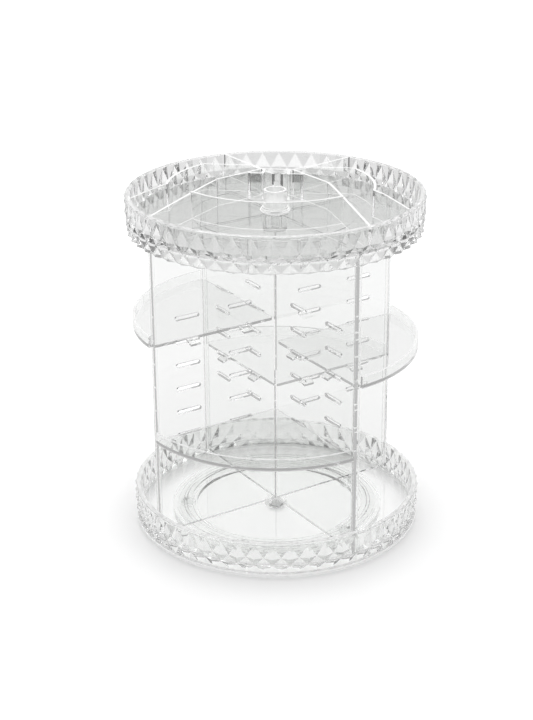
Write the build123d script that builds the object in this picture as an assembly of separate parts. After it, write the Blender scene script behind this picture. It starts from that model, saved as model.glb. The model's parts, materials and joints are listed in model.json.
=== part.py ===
from build123d import *
import math
import os

# Rotating makeup organizer, in millimetres.
# +Z is up and the table is at z = 0. The origin lies on the turning axis.
# The two crossed panels stand along X and Y, so each shelf fills one quadrant.
# The front shelf is the one in the quadrant of -X and -Y.

# Clearances
running_gap = 0.08
body_gap = 0.3
seat_gap = 0.15
glue_gap = 0.05
cutter_margin = 1.0

# Diamond-cut rings of the two trays
tray_radius = 115.0
ring_height = 28.0
ring_wall = 2.7
rim_height = 1.5
rim_inset = 1.2
facet_units = 52
facet_relief = 2.4
facet_top_share = 0.46
facet_middle_share = 0.27
foot_taper = 1.6

# Base tray
table_gap = 2.2
base_foot_lip = 2.4
base_skirt = 7.0
base_floor = 2.4
base_groove_depth = 1.2

# Crossed panels
panel_height = 242.7
panel_thickness = 2.6
flange_width = 6.0
flange_depth = 2.2
slot_rows = 6
first_slot_top = 92.5
slot_pitch = 19.25
slot_length = 21.0
slot_height = 3.3
inner_slot_centre = 33.0
outer_slot_centre = 80.0

# Quarter-round shelves, with the slot row that holds each, counted from the lowest
shelf_radius = 111.5
shelf_plate = 2.2
shelf_lip_wall = 2.0
shelf_lip_height = 9.3
shelf_corner_radius = 3.0
shelf_places = {"shelf_front": (180, 0), "shelf_back": (0, 1), "shelf_right": (270, 3), "shelf_left": (90, 4)}
tongue_width = 9.0
tongue_thickness = 1.6
tongue_reach = 5.0
tongue_slope = 0.379
tongue_end_play = 2.0

# Top tray and its dividers
top_skirt = 7.4
top_floor = 3.6
top_groove_depth = 1.5
floor_circle_radius = 63.5
floor_circle_width = 1.2
floor_circle_depth = 0.5
divider_height = 21.1
divider_wall = 2.0
divider_turn = -40.0
divider_shift = -3.5
cup_back = 43.0
cup_back_half = 12.4
cup_side_x = 43.0
cup_side_y = 10.5
cup_front = 45.0
cup_front_radius = 85.0
fan_half_angle = 45.0
cross_wall_y = 52.0
side_arc_radius = 79.0
side_arc_end = -4.3
side_wall_end = -20.0
rear_wall_half = 3.0
rear_wall_end = 62.0
pocket_inner = 10.0
pocket_outer = 20.7
pocket_front = 31.0

# Lock knob and the nut under it
knob_radius = 9.0
knob_height = 17.4
knob_wall = 1.8
knob_cup_depth = 8.0
knob_head_height = 12.6
knob_ring_count = 3
knob_ring_step = 0.9
knob_foot_height = 1.2
shank_radius = 3.5
shank_length = 12.0
nut_radius = 10.0
nut_height = 12.2
nut_seat = 8.4
nut_floor = 1.6

# Turntable under the base tray
race_radius = 75.0
ball_radius = 2.0
ball_count = 5
ball_sink = 0.5
race_rib_half = 5.0
race_rib_depth = 0.8
cage_half = 6.0
cage_thickness = 1.4
cage_play = 1.0
plate_lift = 2.6
plate_thickness = 2.8
plate_web = 2.0
plate_rim_width = 3.0
plate_rim_height = 5.8
plate_ridge_height = 4.8
hub_wall = 4.4
boss_radius = 5.0
washer_radius = 7.0
washer_thickness = 1.0
pin_radius = 2.5
pin_depth = 4.6
pin_head_radius = 4.5
pin_head_height = 1.2
foot_radius = 6.0
foot_inset = 12.0
foot_sink = 0.8
foot_count = 5

# Heights and radii that follow from the sizes above
base_bottom = table_gap
base_floor_under = base_bottom + base_skirt
base_floor_top = base_floor_under + base_floor
panel_bottom = base_floor_top - base_groove_depth
panel_top = panel_bottom + panel_height
top_floor_under = panel_top + body_gap - top_groove_depth
top_floor_top = top_floor_under + top_floor
top_ring_bottom = top_floor_under - top_skirt
top_rim = top_ring_bottom + ring_height
divider_top = top_floor_top + divider_height
valley_radius = tray_radius - facet_relief
wall_inner = valley_radius - ring_wall
rim_radius = tray_radius - rim_inset
panel_reach = wall_inner - body_gap
half_panel = panel_thickness / 2
slit_width = panel_thickness + 2 * seat_gap
shelf_edge = half_panel + body_gap
divider_reach = wall_inner - body_gap
nut_bottom = top_floor_under - body_gap - nut_height
plate_radius = race_radius + cage_half + cage_play + plate_rim_width
foot_circle = plate_radius - foot_inset
ball_centre_z = base_floor_under - race_rib_depth + ball_sink - ball_radius
boss_bottom = plate_lift + washer_thickness


def cylinder_between(radius, low, high):
    """Upright cylinder on the turning axis, from height low to height high."""
    return Pos(0, 0, low) * Cylinder(radius, high - low, align=(Align.CENTER, Align.CENTER, Align.MIN))


def turned(points):
    """Solid of revolution about the turning axis, from (radius, height) points."""
    return revolve(Plane.XZ * make_face(Polyline(points, close=True)), Axis.Z)


def facet_core(low, high):
    """Solid whose outer side is cut into three staggered rows of pyramids."""
    drops = (0.0, facet_top_share, facet_top_share + facet_middle_share, 1.0)
    columns = 2 * facet_units

    def corner(row, column):
        peak = facet_relief if (row + column) % 2 else 0.0
        radius = valley_radius + peak - foot_taper * drops[row] ** 2
        turn = math.tau * (column % columns) / columns
        height = high - drops[row] * (high - low)
        return Vector(radius * math.cos(turn), radius * math.sin(turn), height)

    faces = []
    for row in range(len(drops) - 1):
        for column in range(columns):
            a, b = corner(row, column), corner(row, column + 1)
            c, d = corner(row + 1, column + 1), corner(row + 1, column)
            if (row + column) % 2:
                faces += [Face(Wire.make_polygon(t)) for t in ((a, b, d), (b, c, d))]
            else:
                faces += [Face(Wire.make_polygon(t)) for t in ((a, b, c), (a, c, d))]
    for row in (0, len(drops) - 1):
        faces.append(Face(Wire.make_polygon([corner(row, column) for column in range(columns)])))
    return Solid(Shell(faces))


def ring_blank(bottom, foot_lip):
    """Solid blank of a tray ring: foot lip, diamond-cut band and smooth rounded rim."""
    top = bottom + ring_height
    facet_top = top - rim_height
    blank = facet_core(bottom + foot_lip, facet_top)
    rim = cylinder_between(rim_radius, facet_top, top)
    blank += fillet(rim.edges().group_by(Axis.Z)[-1], rim_height / 2)
    if foot_lip > 0:
        foot = cylinder_between(rim_radius, bottom, bottom + foot_lip)
        blank += chamfer(foot.edges(), foot_lip / 5)
    return blank


def panel_grooves(bottom, top):
    """Cross-shaped groove block that takes the ends of both panels and their flanges."""
    depth = top - bottom
    span = 2 * (panel_reach + seat_gap)
    arm = Rectangle(span, slit_width)
    end = Rectangle(flange_depth + 2 * seat_gap, flange_width + 2 * seat_gap)
    plan = arm + [Pos(side * (panel_reach - flange_depth / 2), 0) * end for side in (-1, 1)]
    plan += Rot(0, 0, 90) * plan
    return Pos(0, 0, bottom) * extrude(plan, depth)


def race_groove():
    """Ring-shaped groove of octagonal section that the bearing balls run in."""
    sides = 8
    section = RegularPolygon(ball_radius + running_gap, sides, major_radius=False, rotation=180 / sides)
    return revolve(Plane.XZ * Pos(race_radius, ball_centre_z) * section, Axis.Z)


def make_base_tray():
    """Turning base tray: faceted ring, floor with panel grooves, ball race and centre boss."""
    tray = ring_blank(base_bottom, base_foot_lip)
    tray -= cylinder_between(wall_inner, base_floor_top, base_bottom + ring_height)
    rib_bottom = base_floor_under - race_rib_depth
    tray -= turned([
        (0, 0), (wall_inner, 0), (wall_inner, base_floor_under),
        (race_radius + race_rib_half, base_floor_under), (race_radius + race_rib_half, rib_bottom),
        (race_radius - race_rib_half, rib_bottom), (race_radius - race_rib_half, base_floor_under),
        (boss_radius, base_floor_under), (boss_radius, boss_bottom), (0, boss_bottom),
    ])
    tray -= race_groove()
    tray -= cylinder_between(pin_radius, boss_bottom, boss_bottom + pin_depth)
    return tray - panel_grooves(panel_bottom - glue_gap, base_floor_top)


def make_base_plate():
    """Standing plate: hub, thin web, ball channel between a ridge and the outer rim, foot seats."""
    bore = boss_radius + running_gap
    hub = bore + hub_wall
    recess = washer_radius + 2 * body_gap
    shoulder = plate_lift + washer_thickness + body_gap
    channel_inner = race_radius - cage_half - body_gap
    channel_outer = race_radius + cage_half + cage_play
    channel_floor = plate_lift + plate_thickness
    web_top = plate_lift + plate_web
    plate = turned([
        (bore, shoulder), (recess, shoulder), (recess, plate_lift), (plate_radius, plate_lift),
        (plate_radius, plate_lift + plate_rim_height), (channel_outer, plate_lift + plate_rim_height),
        (channel_outer, channel_floor), (channel_inner, channel_floor),
        (channel_inner, plate_lift + plate_ridge_height),
        (channel_inner - plate_rim_width, plate_lift + plate_ridge_height),
        (channel_inner - plate_rim_width, web_top), (hub, web_top),
        (hub, base_floor_under - body_gap), (bore, base_floor_under - body_gap),
    ])
    plate -= race_groove()
    seat = cylinder_between(foot_radius + glue_gap, plate_lift, plate_lift + foot_sink + glue_gap)
    return plate - [place * seat for place in PolarLocations(foot_circle, foot_count)]


def make_feet():
    """Soft round pads let into the underside of the standing plate."""
    pad = cylinder_between(foot_radius, 0, plate_lift + foot_sink)
    pad = chamfer(pad.edges().group_by(Axis.Z)[0], plate_lift / 4)
    return Compound([place * pad for place in PolarLocations(foot_circle, foot_count)])


def make_cage():
    """Flat ring that keeps the bearing balls evenly apart."""
    low = plate_lift + plate_thickness + body_gap
    cage = cylinder_between(race_radius + cage_half, low, low + cage_thickness)
    cage -= cylinder_between(race_radius - cage_half, low, low + cage_thickness)
    hole = cylinder_between(ball_radius + 3 * running_gap, low, low + cage_thickness)
    return cage - [place * hole for place in PolarLocations(race_radius, ball_count)]


def make_balls():
    """Steel balls of the turntable race."""
    ball = Pos(0, 0, ball_centre_z) * Sphere(ball_radius)
    return Compound([place * ball for place in PolarLocations(race_radius, ball_count)])


def make_spindle_pin():
    """Headed pin that is pushed into the boss from below."""
    head_top = boss_bottom - washer_thickness
    pin = cylinder_between(pin_radius, head_top, boss_bottom + pin_depth)
    head = cylinder_between(pin_head_radius, head_top - pin_head_height, head_top)
    return pin + chamfer(head.edges().group_by(Axis.Z)[0], pin_head_height / 3)


def make_spindle_washer():
    """Washer that holds the standing plate under the boss."""
    low = boss_bottom - washer_thickness
    return cylinder_between(washer_radius, low, boss_bottom) - cylinder_between(pin_radius, low, boss_bottom)


def make_panel(slit_low, slit_high):
    """Board along X with slot rows, flanged ends, a half-lap slit and a notch for the nut."""
    board = Pos(0, (panel_bottom + panel_top) / 2) * Rectangle(2 * panel_reach, panel_height)
    slot_centres = [side * middle for side in (-1, 1) for middle in (inner_slot_centre, outer_slot_centre)]
    slot = SlotOverall(slot_length, slot_height)
    for row in range(slot_rows):
        height = first_slot_top + row * slot_pitch - slot_height / 2
        board -= [Pos(across, height) * slot for across in slot_centres]
    board -= Pos(0, (slit_low + slit_high) / 2) * Rectangle(slit_width, slit_high - slit_low)
    seat = nut_bottom - glue_gap
    board -= Pos(0, (seat + panel_top) / 2) * Rectangle(2 * nut_seat, panel_top - seat)
    panel = extrude(Plane.XZ * board, half_panel, both=True)
    flange = RectangleRounded(flange_depth, flange_width, flange_depth / 3)
    for side in (-1, 1):
        place = Pos(side * (panel_reach - flange_depth / 2), 0, panel_bottom)
        panel += place * extrude(flange, panel_height)
    return panel


def shelf_outline():
    """Quarter disc in the quadrant of +X and +Y, with its corners cut clear of the flanges."""
    far = math.sqrt(shelf_radius ** 2 - shelf_edge ** 2)
    mid = shelf_radius / math.sqrt(2)
    edge = Polyline((far, shelf_edge), (shelf_edge, shelf_edge), (shelf_edge, far))
    plan = make_face(edge + ThreePointArc((far, shelf_edge), (mid, mid), (shelf_edge, far)))
    clear = flange_width / 2 + body_gap
    step_end = panel_reach - flange_depth - body_gap
    step_start = step_end - (clear - shelf_edge)
    beyond = shelf_radius + cutter_margin
    notch = make_face(Polyline((step_start, 0), (step_start, shelf_edge), (step_end, clear),
                               (beyond, clear), (beyond, 0), close=True))
    plan -= notch
    plan -= mirror(notch, Plane.XZ.rotated((0, 0, 45)))
    return fillet(plan.vertices().sort_by_distance((0, 0, 0))[0], shelf_corner_radius)


def make_tongue(start, slot_centre):
    """Tongue through the panel along X: it slants down away from the shelf."""
    half = tongue_thickness * math.sqrt(1 + tongue_slope ** 2) / 2
    root = shelf_edge + body_gap
    tip = -(half_panel + tongue_reach)
    section = make_face(Polyline(
        (root, half + tongue_slope * root), (tip, half + tongue_slope * tip),
        (tip, -half + tongue_slope * tip), (root, -half + tongue_slope * root), close=True))
    return Pos(start, 0, slot_centre) * extrude(Plane.YZ * section, tongue_width)


def make_shelf(turn, row):
    """Quarter-round shelf with a lip on its round side and slanting tongues on its straight sides."""
    top = first_slot_top + row * slot_pitch
    low = top - shelf_plate
    plan = shelf_outline()
    shelf = Pos(0, 0, low) * extrude(plan, shelf_plate)
    rim_plan = plan - Circle(shelf_radius - shelf_lip_wall)
    shelf += Pos(0, 0, low) * extrude(rim_plan, shelf_lip_height)
    swap = Plane.XZ.rotated((0, 0, 45))
    for slot_middle in (inner_slot_centre, outer_slot_centre):
        start = slot_middle - slot_length / 2 + tongue_end_play
        tongue = make_tongue(start, top - slot_height / 2)
        shelf += tongue
        shelf += mirror(tongue, swap)
    return Rot(0, 0, turn) * shelf


def make_top_tray():
    """Top tray: faceted ring and raised floor, grooved below for the panels, with a hole for the knob."""
    tray = ring_blank(top_ring_bottom, 0)
    tray -= cylinder_between(wall_inner, top_ring_bottom, top_floor_under)
    tray -= cylinder_between(wall_inner, top_floor_top, top_rim)
    tray -= cylinder_between(shank_radius + body_gap, top_floor_under, top_floor_top)
    inner, outer = floor_circle_radius, floor_circle_radius + floor_circle_width
    low, high = top_floor_under, top_floor_under + floor_circle_depth
    tray -= cylinder_between(outer, low, high) - cylinder_between(inner, low, high)
    return tray - panel_grooves(top_floor_under, top_floor_under + top_groove_depth)


def polar(radius, angle):
    """Plan point at an angle in degrees from X."""
    return (radius * math.cos(math.radians(angle)), radius * math.sin(math.radians(angle)))


def wall_plan(points):
    """Plan of an upright wall that runs through the points, round at its inner corners."""
    plan = Sketch()
    for start, end in zip(points, points[1:]):
        plan += trace(Line(start, end), divider_wall)
    for corner in points[1:-1]:
        plan += Pos(*corner) * Circle(divider_wall / 2)
    return plan


def stand_wall(plan, top=divider_top):
    """Raises a wall plan from the tray floor and trims it to the inside of the ring."""
    low = top_floor_top + glue_gap
    return Pos(divider_shift, 0, low) * extrude(plan, top - low) & cylinder_between(divider_reach, low, top)


def wall_cutter(plan):
    """Cutter that leaves a glue line between a wall and the wall that stands against it."""
    return stand_wall(offset(plan, glue_gap, kind=Kind.INTERSECTION))


def both_sides(plan):
    """A plan with its mirror image across the dividers' own Y axis."""
    return plan + mirror(plan, Plane.YZ)


def slope_cut(inner_radius):
    """Cone-shaped cutter that lowers a wall's top edge to the rim between a radius and the ring."""
    above, beyond = divider_top + cutter_margin, divider_reach + cutter_margin
    return turned([(inner_radius, above), (inner_radius, divider_top), (divider_reach, top_rim),
                   (beyond, top_rim), (beyond, above)])


def fan_walls():
    """Plan of the two slanting walls of the front compartment."""
    return both_sides(wall_plan([(cup_side_x, cup_side_y), polar(tray_radius, fan_half_angle - 90)]))


def make_fan_divider():
    """Two slanting walls that open to the front, joined by the curved front of the centre cup."""
    walls = stand_wall(fan_walls()) - slope_cut(math.hypot(cup_side_x, cup_side_y))
    end_x, end_y = polar(tray_radius, fan_half_angle - 90)
    between = make_face(Polyline((cup_side_x, cup_side_y), (end_x, end_y),
                                 (-end_x, end_y), (-cup_side_x, cup_side_y), close=True))
    half = divider_wall / 2
    front = Circle(cup_front_radius + half) - Circle(cup_front_radius - half)
    return walls + stand_wall(Pos(0, cup_front_radius - cup_front) * front & between)


def cup_plan():
    """Plan of the centre cup's back, with two square pockets beside the knob."""
    slant = (cup_side_x - cup_back_half) / (cup_back - cup_side_y)
    plan = both_sides(wall_plan([(0, cup_back), (cup_back_half, cup_back), (cup_side_x, cup_side_y)]))
    outer_end = cup_back - (pocket_outer - cup_back_half) / slant
    pocket = wall_plan([(pocket_inner, cup_back), (pocket_inner, pocket_front),
                        (pocket_outer, pocket_front), (pocket_outer, outer_end)])
    return plan + both_sides(pocket)


def make_centre_cup():
    """Back of the centre cup with its pockets, and the two rear walls that run to the rim."""
    rear = wall_plan([(rear_wall_half, cup_back + divider_wall / 2), polar(tray_radius, rear_wall_end)])
    cup = stand_wall(cup_plan()) + stand_wall(both_sides(rear), top_rim)
    return cup - wall_cutter(fan_walls())


def side_plan():
    """Plan of the side walls on +X: cross wall, curved wall and a short wall to the ring."""
    arc_start = math.degrees(math.asin(cross_wall_y / side_arc_radius))
    rise = cross_wall_y - cup_back
    plan = wall_plan([(cup_back_half, cup_back), (cup_back_half + rise, cross_wall_y),
                      polar(side_arc_radius, arc_start)])
    plan += trace(CenterArc((0, 0), side_arc_radius, side_arc_end, arc_start - side_arc_end), divider_wall)
    plan += Pos(*polar(side_arc_radius, arc_start)) * Circle(divider_wall / 2)
    plan += Pos(*polar(side_arc_radius, side_arc_end)) * Circle(divider_wall / 2)
    end_wall = wall_plan([polar(side_arc_radius, side_arc_end), polar(tray_radius, side_wall_end)])
    return plan + end_wall


def make_side_divider(plan):
    """Side walls, of which the short one slopes down to the rim."""
    walls = stand_wall(plan) - slope_cut(side_arc_radius + divider_wall + abs(divider_shift))
    return walls - wall_cutter(cup_plan())


def make_lock_knob():
    """Hollow round knob on a stack of grip rings, with the shank that goes through the tray."""
    low = top_floor_top + body_gap
    top = low + knob_height
    head_low = top - knob_head_height
    ring_pitch = (head_low - low - knob_foot_height) / knob_ring_count
    knob = cylinder_between(knob_radius, head_low - ring_pitch, top)
    knob = fillet(knob.edges().group_by(Axis.Z)[-1], knob_wall / 3)
    knob -= cylinder_between(knob_radius - knob_wall, top - knob_cup_depth, top)
    for ring in range(knob_ring_count):
        ring_low = low + knob_foot_height + ring * ring_pitch
        radius = knob_radius + (knob_ring_count - ring) * knob_ring_step
        knob += cylinder_between(radius, ring_low, ring_low + ring_pitch * 3 / 4)
        knob += cylinder_between(radius - knob_ring_step, ring_low, ring_low + ring_pitch)
    knob += cylinder_between(knob_radius + knob_ring_step, low, low + knob_foot_height)
    return knob + cylinder_between(shank_radius, low - shank_length, low)


def make_hub_nut():
    """Round nut in the notch of the crossed panels, keyed by four grooves and bored for the shank."""
    top = nut_bottom + nut_height
    nut = cylinder_between(nut_radius, nut_bottom, top)
    nut -= cylinder_between(shank_radius + running_gap, nut_bottom + nut_floor, top)
    depth = nut_radius - nut_seat + seat_gap
    key = Pos(nut_radius - depth / 2, 0, nut_bottom + nut_height / 2) * Box(depth, slit_width, nut_height)
    return nut - [Rot(0, 0, 90 * side) * key for side in range(4)]


def make_all():
    """Every node of the organizer, by name."""
    lap = (panel_bottom + nut_bottom) / 2
    side = side_plan()
    nodes = {
        "base_plate": make_base_plate(),
        "foot_pads": make_feet(),
        "ball_cage": make_cage(),
        "bearing_balls": make_balls(),
        "spindle_pin": make_spindle_pin(),
        "spindle_washer": make_spindle_washer(),
        "base_tray": make_base_tray(),
        "panel_long": make_panel(lap - glue_gap / 2, panel_top),
        "panel_cross": Rot(0, 0, 90) * make_panel(panel_bottom, lap + glue_gap / 2),
        "top_tray": make_top_tray(),
        "fan_divider": Rot(0, 0, divider_turn) * make_fan_divider(),
        "centre_cup": Rot(0, 0, divider_turn) * make_centre_cup(),
        "side_divider_right": Rot(0, 0, divider_turn) * make_side_divider(side),
        "side_divider_left": Rot(0, 0, divider_turn) * make_side_divider(mirror(side, Plane.YZ)),
        "lock_knob": make_lock_knob(),
        "hub_nut": make_hub_nut(),
    }
    for name, (turn, row) in shelf_places.items():
        nodes[name] = make_shelf(turn, row)
    return nodes


os.makedirs("parts", exist_ok=True)
for name, shape in make_all().items():
    export_step(shape, f"parts/{name}.step")
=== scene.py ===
import bpy
import json
import math
from mathutils import Matrix, Vector


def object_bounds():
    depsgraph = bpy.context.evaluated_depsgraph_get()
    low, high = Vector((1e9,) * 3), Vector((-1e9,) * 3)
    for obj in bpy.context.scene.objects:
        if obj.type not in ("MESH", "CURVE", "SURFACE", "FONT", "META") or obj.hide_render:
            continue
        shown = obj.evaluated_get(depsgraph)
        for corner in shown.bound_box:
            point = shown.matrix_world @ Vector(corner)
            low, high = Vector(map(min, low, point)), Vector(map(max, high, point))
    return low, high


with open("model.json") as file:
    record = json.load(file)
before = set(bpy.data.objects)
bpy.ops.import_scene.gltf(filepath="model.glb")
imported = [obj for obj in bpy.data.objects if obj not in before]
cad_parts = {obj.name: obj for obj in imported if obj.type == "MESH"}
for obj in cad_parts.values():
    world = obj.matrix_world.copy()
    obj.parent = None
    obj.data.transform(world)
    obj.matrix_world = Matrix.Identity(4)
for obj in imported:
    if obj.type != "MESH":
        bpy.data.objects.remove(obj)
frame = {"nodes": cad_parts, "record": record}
cad_low, cad_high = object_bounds()

# Camera of the photograph, in metres and degrees. The heading is counted from +X. Yaw and roll are the small
# turns that put the organizer off the middle of the picture.
CAMERA_PLACE = (-0.6424, -0.9892, 0.6257)
CAMERA_HEADING = 57.0
CAMERA_DOWN = 22.671
CAMERA_YAW = -0.359
CAMERA_ROLL = -0.366
CAMERA_CLIP = 50
FOCAL_PIXELS = 1616.664
PHOTO_LONG_SIDE = 720
SENSOR = 36.0

# Clear plastic. The pieces under the base floor bend light less, and show through it as faint circles.
ACRYLIC_IOR = 1.49
UNDER_IOR = 1.15
# ACRYLIC_TINT is the plastic's own faint tint. The tints below it are shaded and lit copies of it: painted
# shade on the base ring and, darker, on the top tray's floor, and painted light on the top ring, which is
# clearer
ACRYLIC_TINT = (0.966, 0.97, 0.966, 1.0)
BASE_RING_SHADE_TINT = (0.93, 0.935, 0.93, 1.0)
TOP_FLOOR_SHADE_TINT = (0.78, 0.785, 0.78, 1.0)
TOP_RING_TINT = (0.985, 0.985, 0.985, 1.0)
# Painted shade: grey tint that draws dark outlines where a clear surface turns away from the eye
OUTLINE_SHADE_TINT = (0.42, 0.43, 0.43, 1.0)
# Share of the painted shade on the outlines, as (turn of the surface away from the eye, share)
OUTLINE_SHADE_LEVELS = ((0.0, 0.0), (0.8, 0.0), (0.92, 0.6), (1.0, 1.0))
# Share of the light of shadow and diffuse rays that a surface lets through
PASSED_LIGHT = 0.975
RING_PASSED_LIGHT = 0.78
# Light piped inside a wall is followed for so many bounces, and then has one brightness
PIPED_DEPTH = 14
PIPED_LIGHT = 0.7
PANEL_PIPED_LIGHT = 0.5
SHELF_PIPED_LIGHT = 0.4
DIVIDER_PIPED_LIGHT = 0.18
RING_PIPED_DEPTH = 10
RING_PIPED_LIGHT = 0.12

# Noise patterns, as (scale, detail)
WAVES = (45.0, 1.0)
HAZE = (30.0, 4.0)
STEEL_TONES = (900.0, 2.0)
STEEL_SCRATCHES = (1400.0, 3.0)
PAD_GRAIN = (1200.0, 2.0)
PAD_HAZE = (500.0, 3.0)
# Strength and depth in metres of the patterns that make a surface uneven
WAVE_STRENGTH = 0.12
WAVE_DEPTH = 0.0004
PAD_GRAIN_STRENGTH = 0.15
PAD_GRAIN_DEPTH = 0.0001
# Roughness and tone, as (noise, level)
HAZE_LEVELS = ((0.0, 0.0), (0.55, 0.0), (1.0, 0.05))
RING_HAZE_LEVELS = ((0.0, 0.015), (0.5, 0.03), (1.0, 0.08))
STEEL_TONE_LEVELS = ((0.0, 0.84), (0.5, 0.9), (1.0, 0.94))
STEEL_SCRATCH_LEVELS = ((0.0, 0.3), (0.6, 0.38), (1.0, 0.5))
PAD_HAZE_LEVELS = ((0.0, 0.15), (1.0, 0.35))

# Silicone of the foot pads
PAD_COLOUR = (0.97, 0.98, 0.98, 1.0)
PAD_CLEARNESS = 0.95
PAD_IOR = 1.3

# Matt white: its colour, its share as a painted highlight on the upward faces of each area, its share on the
# foot lip, and its share as a pale satin finish in the knob and the spindle
SATIN_AND_HIGHLIGHT_COLOUR = (0.95, 0.95, 0.95, 1.0)
# The next three shares are painted highlights on the upward faces of the tops, the rims and the shelf lips
TOP_HIGHLIGHT_SHARE = 0.75
RIM_HIGHLIGHT_SHARE = 0.3
LIP_HIGHLIGHT_SHARE = 0.35
FOOT_SHARE = 0.7
KNOB_SHARE = 0.3
SPINDLE_SHARE = 0.8
# A face is an upward one, and takes the painted highlight, from this height of its normal
UPWARD = 0.92

# Areas with a look of their own (a painted highlight on their upward faces, the ring's tint, matt white on
# the foot lip), in metres:
# how far inside the trays' edge a ring and a shelf's lip start, how far below the organizer's top the tops
# of panels, dividers and knob start, and where the foot lip ends
RING_WIDTH = 0.0063
LIP_INSET = 0.0056
TOPS_DROP = 0.0266
FOOT_LIP_TOP = 0.0046

# Nodes that share a finer material than that of their slot
DIVIDER_NODES = ("fan_divider", "centre_cup", "side_divider_right", "side_divider_left")
PANEL_NODES = ("panel_long", "panel_cross")
SHELF_NODES = ("shelf_front", "shelf_back", "shelf_right", "shelf_left")
UNDER_NODES = ("base_plate", "ball_cage")

# Floor: its white and its glow to the eye and to clear parts, each as (distance from the axis over the
# reach, level)
FLOOR_SIZE = 12.0
FLOOR_REACH = 2.0
FLOOR_WHITES = ((0.0, 0.78), (0.5, 0.78), (0.75, 0.7), (1.0, 0.7))
CAMERA_GLOWS = ((0.0, 0.12), (0.06, 0.12), (0.09, 0.24), (0.2, 0.28), (0.5, 0.35), (1.0, 0.4))
CLEAR_GLOWS = ((0.0, 0.34), (0.045, 0.34), (0.065, 0.04), (0.25, 0.04), (0.45, 0.0), (1.0, 0.0))

# Studio air, and what clear parts see of it: a dome, as (sine of the height above the horizon, level)
AIR_LEVEL = 1.0
DOME_LEVELS = (
    (0.0, 0.74), (0.1, 0.86), (0.24, 0.74), (0.52, 0.74), (0.6, 0.2), (0.66, 0.2), (0.74, 0.95), (1.0, 0.95),
)
# Grey cards at two sides of the dome, from a sine up, as (share of a flat direction along the axis, level)
SIDE_AXIS = (0.839, -0.545, 0.0)
SIDE_BASE = 0.14
SIDE_LEVELS = ((0.0, 1.0), (0.6, 1.0), (0.72, 0.3), (1.0, 0.3))

# Lamp: a square soft box above and behind
LAMP_PLACE = (0.5, 0.9, 1.6)
LAMP_TARGET = (0, 0, 0.1)
LAMP_SIZE = 0.9
LAMP_POWER = 8

# Bounces that light needs to cross the stacked clear walls
BOUNCES = 48
GLOSSY_BOUNCES = 16

# Leaves the height out of a place or direction
FLAT = (1.0, 1.0, 0.0)


def add_camera():
    """The camera stands where the photograph was taken from."""
    data = bpy.data.cameras.new("camera")
    data.sensor_width = SENSOR
    data.lens = FOCAL_PIXELS * SENSOR / PHOTO_LONG_SIDE
    data.clip_end = CAMERA_CLIP
    camera = bpy.data.objects.new("camera", data)
    bpy.context.scene.collection.objects.link(camera)
    heading = Matrix.Rotation(math.radians(CAMERA_HEADING - 90 - CAMERA_YAW), 4, "Z")
    pitch = Matrix.Rotation(math.radians(90 - CAMERA_DOWN), 4, "X")
    roll = Matrix.Rotation(math.radians(CAMERA_ROLL), 4, "Z")
    camera.matrix_world = Matrix.Translation(CAMERA_PLACE) @ heading @ pitch @ roll
    bpy.context.scene.camera = camera


def new_material(name):
    """An empty node material and its output node."""
    material = bpy.data.materials.new(name)
    material.use_nodes = True
    tree = material.node_tree
    tree.nodes.clear()
    return material, tree, tree.nodes.new("ShaderNodeOutputMaterial")


def fill(tree, node, inputs):
    """Gives each listed input of a node a fixed value or the output of another node."""
    for socket, value in inputs.items():
        if isinstance(value, bpy.types.NodeSocket):
            tree.links.new(value, node.inputs[socket])
        else:
            node.inputs[socket].default_value = value


def add_node(tree, kind, inputs):
    """A new node with its inputs filled."""
    node = tree.nodes.new(kind)
    fill(tree, node, inputs)
    return node


def math_node(tree, operation, *values):
    """Result of an operation on values."""
    node = add_node(tree, "ShaderNodeMath", dict(enumerate(values)))
    node.operation = operation
    return node.outputs[0]


def vector_node(tree, operation, *vectors):
    """Node of an operation on vectors."""
    node = add_node(tree, "ShaderNodeVectorMath", dict(enumerate(vectors)))
    node.operation = operation
    return node


def ramp_of(tree, levels, value):
    """Brightness by a value, from (value, brightness) stops."""
    ramp = add_node(tree, "ShaderNodeValToRGB", {"Fac": value})
    stops = ramp.color_ramp.elements
    while len(stops) < len(levels):
        stops.new(0.5)
    for stop, (position, level) in zip(stops, levels):
        stop.position = position
        stop.color = grey(level)
    return ramp.outputs["Color"]


def mixed(tree, share, first, second):
    """Mix of two shaders by a share."""
    return add_node(tree, "ShaderNodeMixShader", {0: share, 1: first, 2: second}).outputs[0]


def tints(tree, share, first, second):
    """Mix of two colours by a share."""
    mix = tree.nodes.new("ShaderNodeMix")
    mix.data_type = "RGBA"
    fill(tree, mix, {"Factor": share, "A": first, "B": second})
    return mix.outputs["Result"]


def grey(level):
    """Opaque grey of a brightness."""
    return (level, level, level, 1.0)


def satin_and_highlight(tree):
    """Matt white shader: a painted highlight on upward faces, the white of the foot lip, and a pale satin
    finish in the knob and the spindle.
    """
    return add_node(tree, "ShaderNodeBsdfDiffuse", {"Color": SATIN_AND_HIGHLIGHT_COLOUR}).outputs[0]


def passed(tree, share):
    """Transparent shader that lets a share of the light pass."""
    return add_node(tree, "ShaderNodeBsdfTransparent", {"Color": grey(share)}).outputs[0]


def even_light(tree, level):
    """Emission of one brightness."""
    return add_node(tree, "ShaderNodeEmission", {"Color": grey(level)}).outputs[0]


def own_place(tree):
    """A point's place in the node's own space, which goes along with every pose."""
    return tree.nodes.new("ShaderNodeTexCoord").outputs["Object"]


def height_of(tree, vector):
    """Height of a place or direction."""
    return add_node(tree, "ShaderNodeSeparateXYZ", {0: vector}).outputs["Z"]


def flat(tree, vector):
    """A place or direction without its height."""
    return vector_node(tree, "MULTIPLY", vector, FLAT).outputs["Vector"]


def axis_distance(tree):
    """Distance from the turning axis."""
    return vector_node(tree, "LENGTH", flat(tree, own_place(tree))).outputs["Value"]


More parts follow.
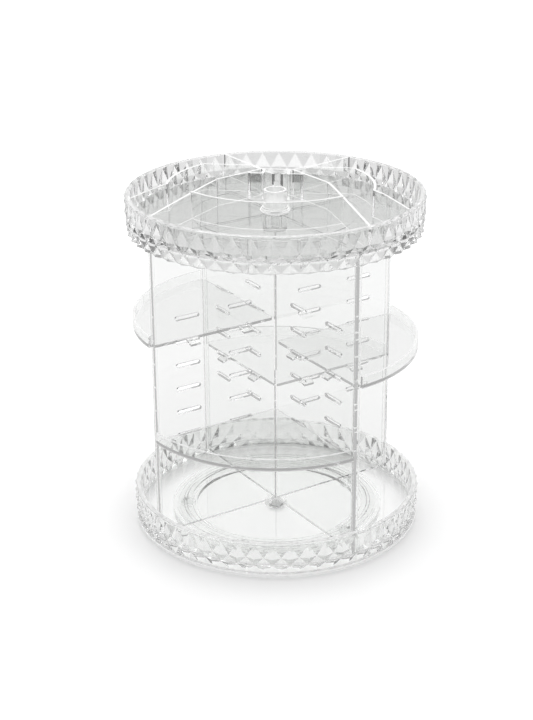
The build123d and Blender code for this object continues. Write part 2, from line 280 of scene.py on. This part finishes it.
def noise(tree, pattern):
    """Soft noise of a (scale, detail) pattern."""
    scale, detail = pattern
    inputs = {"Vector": own_place(tree), "Scale": scale, "Detail": detail}
    return add_node(tree, "ShaderNodeTexNoise", inputs).outputs["Fac"]


def uneven(tree, pattern, strength, depth):
    """Normal of a surface with a pattern of shallow hollows."""
    inputs = {"Height": noise(tree, pattern), "Strength": strength, "Distance": depth}
    return add_node(tree, "ShaderNodeBump", inputs).outputs[0]


def rays(tree, first, second):
    """1 for the rays of either of two kinds."""
    path = tree.nodes.new("ShaderNodeLightPath")
    return math_node(tree, "MAXIMUM", path.outputs[first], path.outputs[second])


def deeper_than(tree, depth):
    """1 for light that has bounced more than so many times."""
    path = tree.nodes.new("ShaderNodeLightPath")
    return math_node(tree, "GREATER_THAN", path.outputs["Ray Depth"], depth)


def clear_glass(tree, ior=ACRYLIC_IOR, haze=HAZE_LEVELS):
    """Clear plastic with the faint waves and the patches of haze of a moulded wall."""
    return add_node(tree, "ShaderNodeBsdfPrincipled", {
        "Base Color": ACRYLIC_TINT,
        "Transmission Weight": 1.0,
        "IOR": ior,
        "Normal": uneven(tree, WAVES, WAVE_STRENGTH, WAVE_DEPTH),
        "Roughness": ramp_of(tree, haze, noise(tree, HAZE)),
    })


def shade_outlined_glass(tree, haze=HAZE_LEVELS, tint=ACRYLIC_TINT):
    """Clear plastic with painted shade on its outlines: its tint darkens to grey where the surface turns
    away from the eye.
    """
    shader = clear_glass(tree, haze=haze)
    turn = tree.nodes.new("ShaderNodeLayerWeight")
    # painted shade on the outlines, by how far the surface turns away from the eye
    outline_shade = ramp_of(tree, OUTLINE_SHADE_LEVELS, turn.outputs["Facing"])
    fill(tree, shader, {"Base Color": tints(tree, outline_shade, tint, OUTLINE_SHADE_TINT)})
    return shader


def unbent(tree, shader, straight):
    """Clear shader with another for the shadow and diffuse rays, which pass the plastic unbent."""
    return mixed(tree, rays(tree, "Is Shadow Ray", "Is Diffuse Ray"), shader.outputs[0], straight)


def piped(tree, surface, light):
    """Surface with one brightness for the light piped inside its wall."""
    return mixed(tree, deeper_than(tree, PIPED_DEPTH), surface, even_light(tree, light))


def clear_body(tree, shader, light):
    """Clear shader with unbent straight rays and a brightness for its piped light."""
    return piped(tree, unbent(tree, shader, passed(tree, PASSED_LIGHT)), light)


def painted_highlight_where(tree, where, share, surface):
    """Surface with a painted highlight, a share of matt white, on the upward faces of one area."""
    normal = tree.nodes.new("ShaderNodeNewGeometry").outputs["True Normal"]
    # Painted highlight: matt white mixed in on the upward faces only
    upward = math_node(tree, "GREATER_THAN", height_of(tree, normal), UPWARD)
    area = math_node(tree, "MULTIPLY", upward, where)
    return mixed(tree, math_node(tree, "MULTIPLY", area, share), surface, satin_and_highlight(tree))


def tops(tree):
    """1 on everything near the top of the organizer."""
    place = tree.nodes.new("ShaderNodeNewGeometry").outputs["Position"]
    return math_node(tree, "GREATER_THAN", height_of(tree, place), cad_high.z - TOPS_DROP)


def wall_plastic(name, light):
    """Dividers and panels: clear, with a painted highlight on their top edges."""
    material, tree, output = new_material(name)
    clear = clear_body(tree, shade_outlined_glass(tree), light)
    # painted highlight on the upward faces of the top edges
    fill(tree, output, {"Surface": painted_highlight_where(tree, tops(tree), TOP_HIGHLIGHT_SHARE, clear)})
    return material


def shelf_plastic():
    """Shelves: clear, with a painted highlight on top of the lip."""
    material, tree, output = new_material("clear_shelf")
    clear = clear_body(tree, shade_outlined_glass(tree), SHELF_PIPED_LIGHT)
    lip = math_node(tree, "GREATER_THAN", axis_distance(tree), cad_high.x - LIP_INSET)
    # painted highlight on the upward faces of the lip
    fill(tree, output, {"Surface": painted_highlight_where(tree, lip, LIP_HIGHLIGHT_SHARE, clear)})
    return material


def ring_plastic(name, floor_tint, ring_tint):
    """Trays: a clear floor, and a diamond-cut ring with a painted highlight on the rim and, low down, a foot
    lip mixed with matt white.
    """
    material, tree, output = new_material(name)
    ring = math_node(tree, "GREATER_THAN", axis_distance(tree), cad_high.x - RING_WIDTH)
    shader = shade_outlined_glass(tree, RING_HAZE_LEVELS, tints(tree, ring, floor_tint, ring_tint))
    straight = mixed(tree, ring, passed(tree, PASSED_LIGHT), passed(tree, RING_PASSED_LIGHT))
    clear = piped(tree, unbent(tree, shader, straight), PIPED_LIGHT)
    dark = math_node(tree, "MULTIPLY", ring, deeper_than(tree, RING_PIPED_DEPTH))
    cut = mixed(tree, dark, clear, even_light(tree, RING_PIPED_LIGHT))
    low = math_node(tree, "LESS_THAN", height_of(tree, own_place(tree)), FOOT_LIP_TOP)
    foot = math_node(tree, "MULTIPLY", math_node(tree, "MULTIPLY", ring, low), FOOT_SHARE)
    footed = mixed(tree, foot, cut, satin_and_highlight(tree))
    # painted highlight on the upward faces of the rim
    fill(tree, output, {"Surface": painted_highlight_where(tree, ring, RIM_HIGHLIGHT_SHARE, footed)})
    return material


def knob_plastic():
    """Knob: a slightly cloudy moulding with a painted highlight on its top."""
    material, tree, output = new_material("cloudy_knob")
    clear = clear_body(tree, shade_outlined_glass(tree), PIPED_LIGHT)
    cloudy = mixed(tree, KNOB_SHARE, clear, satin_and_highlight(tree))
    # painted highlight on the upward faces of the top
    fill(tree, output, {"Surface": painted_highlight_where(tree, tops(tree), TOP_HIGHLIGHT_SHARE, cloudy)})
    return material


def simple_plastic(name, ior):
    """Clear plastic of the pieces that show through others, such as the standing plate and the nut."""
    material, tree, output = new_material(name)
    fill(tree, output, {"Surface": clear_body(tree, clear_glass(tree, ior), PIPED_LIGHT)})
    return material


def steel(tree):
    """Satin steel with fine scratches."""
    return add_node(tree, "ShaderNodeBsdfPrincipled", {
        "Metallic": 1.0,
        "Base Color": ramp_of(tree, STEEL_TONE_LEVELS, noise(tree, STEEL_TONES)),
        "Roughness": ramp_of(tree, STEEL_SCRATCH_LEVELS, noise(tree, STEEL_SCRATCHES)),
    }).outputs[0]


def ball_steel():
    """Bare steel of the balls."""
    material, tree, output = new_material("ball_steel")
    fill(tree, output, {"Surface": steel(tree)})
    return material


def pale_steel():
    """Steel of the spindle and its washer, with a pale coat."""
    material, tree, output = new_material("steel")
    fill(tree, output, {"Surface": mixed(tree, SPINDLE_SHARE, steel(tree), satin_and_highlight(tree))})
    return material


def silicone():
    """Soft clear silicone of the foot pads, with a fine moulded grain."""
    material, tree, output = new_material("silicone")
    shader = add_node(tree, "ShaderNodeBsdfPrincipled", {
        "Base Color": PAD_COLOUR,
        "Transmission Weight": PAD_CLEARNESS,
        "IOR": PAD_IOR,
        "Normal": uneven(tree, PAD_GRAIN, PAD_GRAIN_STRENGTH, PAD_GRAIN_DEPTH),
        "Roughness": ramp_of(tree, PAD_HAZE_LEVELS, noise(tree, PAD_HAZE)),
    })
    fill(tree, output, {"Surface": unbent(tree, shader, passed(tree, PASSED_LIGHT))})
    return material


def finer_materials():
    """Materials of the nodes that don't take the one of their slot, by node."""
    finer = {
        "lock_knob": knob_plastic(),
        "bearing_balls": ball_steel(),
        # The base ring and the top tray's floor take painted shade in their tints, and the top ring takes
        # painted light
        "base_tray": ring_plastic("clear_base", ACRYLIC_TINT, BASE_RING_SHADE_TINT),
        "top_tray": ring_plastic("clear_top", TOP_FLOOR_SHADE_TINT, TOP_RING_TINT),
    }
    kinds = (
        (DIVIDER_NODES, wall_plastic("clear_divider", DIVIDER_PIPED_LIGHT)),
        (PANEL_NODES, wall_plastic("clear_panel", PANEL_PIPED_LIGHT)),
        (SHELF_NODES, shelf_plastic()),
        (UNDER_NODES, simple_plastic("clear_plate", UNDER_IOR)),
    )
    for nodes, material in kinds:
        finer.update({node: material for node in nodes})
    return finer


def dress_nodes():
    """Every CAD node gets its finer material, or else the one of its slot."""
    slots = {
        "clear_acrylic": simple_plastic("clear_plastic", ACRYLIC_IOR),
        "steel": pale_steel(),
        "clear_silicone": silicone(),
    }
    finer = finer_materials()
    for entry in frame["record"]["subparts"]:
        node = entry["node"]
        part = frame["nodes"][node]
        part.data.materials.clear()
        part.data.materials.append(finer.get(node, slots[entry["material_slot"]]))


def floor_white():
    """Matt white that glows a little to the eye and to the clear parts."""
    material, tree, output = new_material("floor")
    reach = math_node(tree, "DIVIDE", axis_distance(tree), FLOOR_REACH)
    camera_ray = tree.nodes.new("ShaderNodeLightPath").outputs["Is Camera Ray"]
    clear_ray = rays(tree, "Is Glossy Ray", "Is Transmission Ray")
    seen = math_node(tree, "MULTIPLY", camera_ray, ramp_of(tree, CAMERA_GLOWS, reach))
    through = math_node(tree, "MULTIPLY", clear_ray, ramp_of(tree, CLEAR_GLOWS, reach))
    glow = add_node(tree, "ShaderNodeEmission", {"Strength": math_node(tree, "ADD", seen, through)})
    white = add_node(tree, "ShaderNodeBsdfDiffuse", {"Color": ramp_of(tree, FLOOR_WHITES, reach)})
    both = add_node(tree, "ShaderNodeAddShader", {0: white.outputs[0], 1: glow.outputs[0]})
    fill(tree, output, {"Surface": both.outputs[0]})
    return material


def add_floor():
    """Plain pale floor that keeps the shadow."""
    bpy.ops.mesh.primitive_plane_add(size=FLOOR_SIZE, location=(0, 0, 0))
    floor = bpy.context.object
    floor.name = "floor"
    floor.data.materials.append(floor_white())


def side_share(tree, direction):
    """How far a direction points to one of the two sides of the studio, from 0 to 1."""
    unit = vector_node(tree, "NORMALIZE", flat(tree, direction)).outputs["Vector"]
    along = vector_node(tree, "DOT_PRODUCT", unit, SIDE_AXIS).outputs["Value"]
    return math_node(tree, "ABSOLUTE", along)


def add_world():
    """Studio air: white to the camera, and to clear parts a dome with grey bands and side cards."""
    world = bpy.data.worlds.new("studio")
    bpy.context.scene.world = world
    world.use_nodes = True
    tree = world.node_tree
    tree.nodes.clear()
    direction = tree.nodes.new("ShaderNodeTexCoord").outputs["Generated"]
    height = height_of(tree, direction)
    above = math_node(tree, "GREATER_THAN", height, SIDE_BASE)
    cards = ramp_of(tree, SIDE_LEVELS, math_node(tree, "MULTIPLY", side_share(tree, direction), above))
    dome = math_node(tree, "MULTIPLY", ramp_of(tree, DOME_LEVELS, height), cards)
    air = tints(tree, rays(tree, "Is Camera Ray", "Is Diffuse Ray"), dome, grey(1.0))
    back = add_node(tree, "ShaderNodeBackground", {"Color": air, "Strength": AIR_LEVEL})
    add_node(tree, "ShaderNodeOutputWorld", {"Surface": back.outputs[0]})


def add_lamp():
    """One soft box, aimed at the organizer."""
    data = bpy.data.lights.new("key", "AREA")
    data.size = LAMP_SIZE
    data.energy = LAMP_POWER
    lamp = bpy.data.objects.new("key", data)
    bpy.context.scene.collection.objects.link(lamp)
    lamp.location = LAMP_PLACE
    aim = Vector(LAMP_TARGET) - Vector(LAMP_PLACE)
    lamp.rotation_euler = aim.to_track_quat("-Z", "Y").to_euler()


def set_colours_and_bounces():
    """Plain colours, and enough bounces for the clear walls."""
    bpy.context.scene.view_settings.view_transform = "Standard"
    cycles = bpy.context.scene.cycles
    cycles.max_bounces = BOUNCES
    cycles.transmission_bounces = BOUNCES
    cycles.transparent_max_bounces = BOUNCES
    cycles.glossy_bounces = GLOSSY_BOUNCES


set_colours_and_bounces()
add_camera()
dress_nodes()
add_floor()
add_world()
add_lamp()
